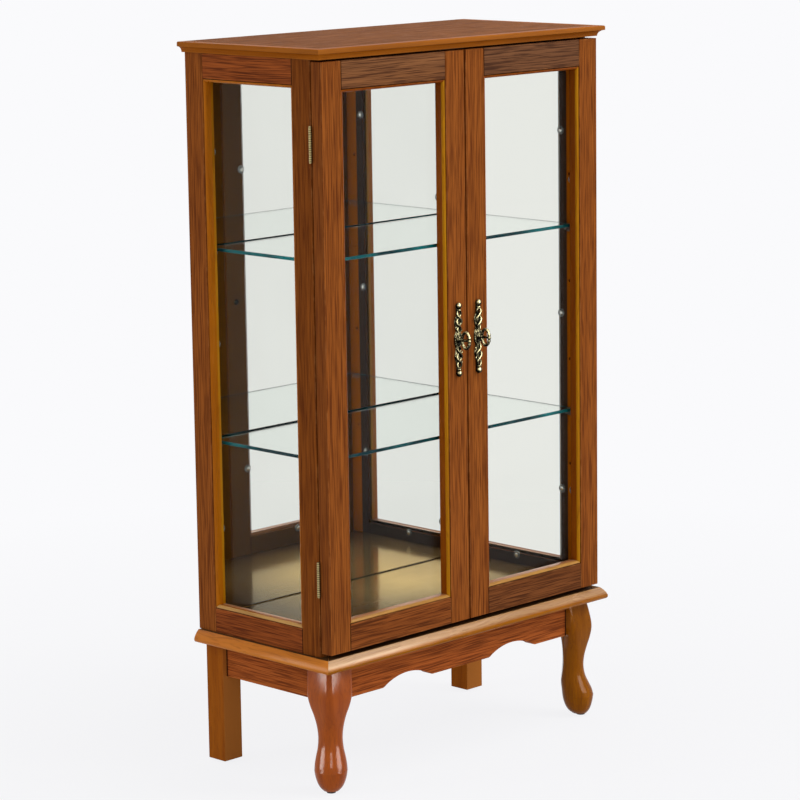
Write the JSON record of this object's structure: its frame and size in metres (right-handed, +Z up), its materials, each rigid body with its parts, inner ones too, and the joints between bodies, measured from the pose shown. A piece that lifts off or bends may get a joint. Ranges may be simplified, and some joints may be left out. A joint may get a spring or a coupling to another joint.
{
  "type": "display cabinet",
  "caption": "Free-standing glazed curio cabinet: mirror back, glass sides and hinged glass doors, loose glass shelves on pins, moulded top and a base on cabriole front legs.",
  "frame": {"origin": "on the floor, under the middle of the box that holds the closed cabinet with its pulls", "axes": "+X to the viewer's right along the width, -Y out of the doors, +Z up"},
  "size_m": [0.6, 0.307, 1.06],
  "materials": {
    "antique_brass": "antiqued cast brass, rubbed on high spots",
    "back_board": "thin hardboard, plain",
    "black_plastic": "moulded",
    "block_wood": "bare softwood",
    "brown_plastic": "moulded",
    "clear_plastic": "pale translucent moulding",
    "floor_veneer": "brown board, satin lacquer",
    "hinge_brass": "brass plated, satin",
    "mirror": "silvered back",
    "pane_glass": "clear polished pane",
    "shelf_glass": "clear float glass with polished green edges",
    "solid_wood": "smooth orange brown lacquered solid wood, semi gloss",
    "steel": "zinc plated",
    "veneer": "open grain reddish brown veneer, satin lacquer"
  },
  "bodies": {
    "carcass": {"back_mirror": "mirror", "back_panel": "back_board", "back_panel_screws": "steel", "corner_blocks": "block_wood", "floor_board": "floor_veneer", "front_apron": "veneer", "front_base_moulding": "solid_wood", "front_left_leg": "solid_wood", "front_right_leg": "solid_wood", "hinge_frame_leaves": "hinge_brass", "hinge_pins": "hinge_brass", "left_apron": "veneer", "left_base_moulding": "solid_wood", "left_front_stile": "veneer", "left_rear_stile": "veneer", "left_side_bottom_rail": "veneer", "left_side_glass": "pane_glass", "left_side_top_rail": "veneer", "leg_glides": "black_plastic", "lower_shelf": "shelf_glass", "magnetic_catch": "brown_plastic", "rear_apron": "veneer", "rear_base_rail": "veneer", "rear_left_leg": "solid_wood", "rear_right_leg": "solid_wood", "right_apron": "veneer", "right_base_moulding": "solid_wood", "right_front_stile": "veneer", "right_rear_stile": "veneer", "right_side_bottom_rail": "veneer", "right_side_glass": "pane_glass", "right_side_top_rail": "veneer", "shelf_supports": "clear_plastic", "side_glass_beads": "solid_wood", "side_glass_clips": "clear_plastic", "top_edge_moulding": "solid_wood", "top_panel": "veneer", "upper_shelf": "shelf_glass"},
    "left_door": {"left_hinge_stile": "veneer", "left_meeting_stile": "veneer", "left_door_top_rail": "veneer", "left_door_bottom_rail": "veneer", "left_door_glass": "pane_glass", "left_door_beads": "solid_wood", "left_door_clips": "clear_plastic", "left_door_hinge_leaves": "hinge_brass", "left_handle_plate": "antique_brass", "left_handle_pull": "antique_brass", "left_strike_plate": "steel"},
    "right_door": {"right_hinge_stile": "veneer", "right_meeting_stile": "veneer", "right_door_top_rail": "veneer", "right_door_bottom_rail": "veneer", "right_door_glass": "pane_glass", "right_door_beads": "solid_wood", "right_door_clips": "clear_plastic", "right_door_hinge_leaves": "hinge_brass", "right_handle_plate": "antique_brass", "right_handle_pull": "antique_brass", "right_strike_plate": "steel"}
  },
  "joints": [
    {"name": "left_door_hinge", "type": "hinge", "parent": "carcass", "child": "left_door", "pos_m": [-0.28805, -0.10695, 0.6], "axis": [0, 0, -1], "range_deg": [0, 170]},
    {"name": "right_door_hinge", "type": "hinge", "parent": "carcass", "child": "right_door", "pos_m": [0.28805, -0.10695, 0.6], "axis": [0, 0, 1], "range_deg": [0, 170]}
  ]
}
